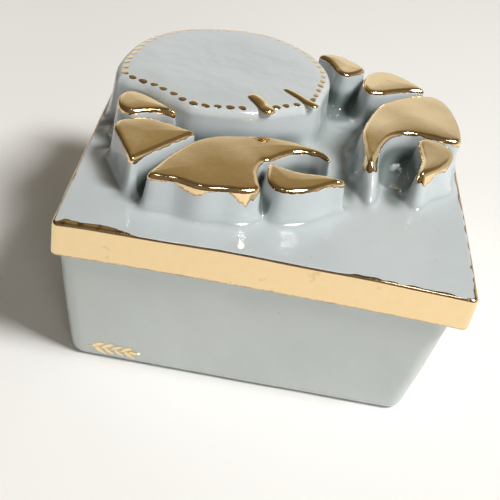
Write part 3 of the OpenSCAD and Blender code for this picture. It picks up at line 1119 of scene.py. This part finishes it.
def gold_finish(name):
    """Fired gold lustre: brushed unevenly, reddish and duller where it is thin, with fine scratches."""
    f = Finish(name)
    brushed = f.noise(420, 5, 0.6, 0.4)
    colour = f.mix(f.remap(brushed, 0.3, 0.7, 0, 1), (0.925, 0.705, 0.40), (0.94, 0.73, 0.43))
    worn = f.math("MULTIPLY", f.attribute("darkening"), f.remap(f.noise(1100, 3), 0.3, 0.6, 0.35, 1))
    colour = f.mix(worn, colour, (0.30, 0.13, 0.07))
    stretch = f.add("ShaderNodeMapping")
    stretch.inputs["Scale"].default_value = (1, 9, 1)
    stretch.inputs["Rotation"].default_value = (0, 0, 0.7)
    f.link(f.place, stretch.inputs["Vector"])
    lines = f.remap(f.noise(260, 2, place=stretch.outputs["Vector"]), 0.66, 0.72, 0, 1)
    colour = f.mix(f.math("MULTIPLY", lines, 0.2), colour, (0.45, 0.28, 0.14))
    roughness = f.math("ADD", f.remap(brushed, 0.3, 0.75, 0.05, 0.10), f.math("MULTIPLY", lines, 0.15))
    waves = f.bump(f.noise(90, 1), 0.00007)
    grain = f.bump(f.noise(1800, 3), 0.000008, waves)
    return f.finish(Base_Color=colour, Metallic=1.0, Roughness=roughness, Normal=grain)


def bisque_finish():
    """Bare fired clay, matt and slightly gritty, under the foot and on the rim."""
    f = Finish("bare_clay")
    colour = f.mix(f.remap(f.noise(900, 4), 0.35, 0.65, 0, 1), (0.66, 0.62, 0.55), (0.55, 0.50, 0.43))
    grit = f.bump(f.noise(2600, 4), 0.00012)
    roughness = f.remap(f.noise(700, 2), 0.3, 0.7, 0.7, 0.85)
    return f.finish(Base_Color=colour, Roughness=roughness, Normal=grit)


# -------- camera, light and floor

LIGHT_AIM = Vector((0, 0, 0.03))
WHITE = (1.0, 1.0, 1.0)


def make_camera():
    """The camera, from its angles round a target and its roll."""
    elevation, azimuth, roll = (math.radians(a) for a in (35.7, -1.914, 11.648))
    distance, target = 216.66, Vector((-4.01, -40.33, 40.0))
    back = Vector((math.sin(azimuth) * math.cos(elevation), -math.cos(azimuth) * math.cos(elevation),
                   math.sin(elevation)))
    right = (-back).cross(Vector((0, 0, 1))).normalized()
    up = right.cross(-back)
    rolled_right = math.cos(roll) * right + math.sin(roll) * up
    rolled_up = math.cos(roll) * up - math.sin(roll) * right
    turn = Matrix((rolled_right, rolled_up, back)).transposed().to_4x4()
    camera = bpy.data.objects.new("camera", bpy.data.cameras.new("camera"))
    camera.data.sensor_width = 36
    camera.data.lens = 65.17
    camera.data.clip_start = 0.005
    camera.matrix_world = Matrix.Translation((target + back * distance) * MM) @ turn
    bpy.context.scene.collection.objects.link(camera)
    bpy.context.scene.camera = camera


def make_world():
    """A room: bright low down behind the box, and dim and brown above, in front and on the left."""
    world = bpy.data.worlds.new("studio")
    world.use_nodes = True
    bpy.context.scene.world = world
    f = Nodes(world.node_tree)
    split = f.add("ShaderNodeSeparateXYZ")
    f.link(f.add("ShaderNodeTexCoord").outputs["Generated"], split.inputs[0])
    x, y, z = split.outputs
    ramp = f.add("ShaderNodeValToRGB")
    f.link(z, ramp.inputs["Fac"])
    stops = [(0, (0.92, 0.92, 0.90)), (23, (0.84, 0.83, 0.79)), (26, (0.60, 0.58, 0.54)),
             (31, (0.32, 0.265, 0.165)), (45, (0.19, 0.145, 0.085)), (60, (0.12, 0.10, 0.07)),
             (90, (0.09, 0.08, 0.06))]
    while len(ramp.color_ramp.elements) < len(stops):
        ramp.color_ramp.elements.new(0.5)
    for element, (angle, colour) in zip(ramp.color_ramp.elements, stops):
        element.position = math.sin(math.radians(angle))
        element.color = (*colour, 1)
    front = f.remap(y, -0.6, -0.1, 1, 0)
    colour = f.mix(front, ramp.outputs["Color"], (0.17, 0.14, 0.11))
    left = f.remap(x, -0.8, -0.25, 1, 0)
    colour = f.mix(left, colour, (0.085, 0.065, 0.04))
    right = f.remap(x, 0.05, 0.5, 0, 0.4)
    colour = f.mix(right, colour, (0.12, 0.09, 0.05))
    f.link(colour, world.node_tree.nodes["Background"].inputs["Color"])


def area_light(name, place, width, depth, watts, colour, gloss=True, diffuse=True):
    """A soft light aimed at the box. Gloss and diffuse say what it lights."""
    light = bpy.data.lights.new(name, "AREA")
    light.shape = "RECTANGLE"
    light.size = width
    light.size_y = depth
    light.energy = watts
    light.color = colour
    lamp = bpy.data.objects.new(name, light)
    lamp.location = place
    lamp.rotation_euler = (LIGHT_AIM - Vector(place)).to_track_quat("-Z", "Y").to_euler()
    lamp.visible_glossy = gloss
    lamp.visible_diffuse = diffuse
    bpy.context.scene.collection.objects.link(lamp)


def make_floor():
    """A wide, pale floor with a very slight tone."""
    f = Finish("pale_floor")
    colour = f.mix(f.remap(f.noise(3, 3), 0.3, 0.7, 0, 1), (0.875, 0.88, 0.88), (0.855, 0.86, 0.86))
    material = f.finish(Base_Color=colour, Roughness=0.6)
    mesh = bpy.data.meshes.new("floor")
    reach = 3.0
    corners = [(-reach, -reach, 0), (reach, -reach, 0), (reach, reach, 0), (-reach, reach, 0)]
    mesh.from_pydata(corners, [], [[0, 1, 2, 3]])
    mesh.materials.append(material)
    floor = bpy.data.objects.new("floor", mesh)
    bpy.context.scene.collection.objects.link(floor)


# -------- making it

make_camera()
make_world()
area_light("key", (0.81, -0.36, 1.26), 0.46, 0.46, 24.6, (1.0, 0.985, 0.96))
area_light("fill", (0.35, -0.95, 0.30), 0.30, 0.30, 2.3, WHITE, gloss=False)
area_light("lamp_a", (-0.10, -0.16, 1.15), 0.13, 0.05, 0.28, WHITE, diffuse=False)
area_light("lamp_b", (0.32, -0.42, 1.00), 0.12, 0.05, 0.35, WHITE, diffuse=False)
make_floor()
bpy.context.scene.view_settings.view_transform = "Standard"

# The lid glaze's second colour is the dark teal of pooled glaze, used as well for painted shade in the
# relief's valleys.
LID_GLAZE = glaze_finish("lid_porcelain", (0.51, 0.557, 0.58), (0.17, 0.21, 0.205), (0.485, 0.54, 0.565))
BASE_GLAZE = glaze_finish("base_porcelain", (0.52, 0.56, 0.55), (0.36, 0.41, 0.40), (0.49, 0.535, 0.52))
GOLD = gold_finish("gold_lustre_film")
BEAD_GOLD = gold_finish("gold_lustre_bead")

points, normals, pooled_and_shade, triangles = lid_surface()
glazed = Sheet(points, normals, pooled_and_shade, triangles)
side = square_distance(points[:, :2], SIDE_HALF, LID_CORNER_R)
glazed.triangles = glazed.cut(np.where(points[:, 2] < RECESS_Z, side + RIM_STRIP, FAR))[1]
relief_golds(glazed, [GOLD])
edge_band(glazed, [GOLD])
lid_plate_piece(glazed, relief_pieces(glazed, [LID_GLAZE]), [LID_GLAZE])
eye_piece("left_eye", (-10.4, 2.9), (-4.5, -5.0), 0.35, (1.6, 1.85, 1.95, 1.75), [BEAD_GOLD])
eye_piece("right_eye", (-1.9, 10.4), (7.5, 3.5), 0.35, (0.8, 1.1, 1.35, 1.25), [BEAD_GOLD])
dots_piece([BEAD_GOLD])
base_piece([BASE_GLAZE, bisque_finish()])
sprig_piece([BEAD_GOLD])
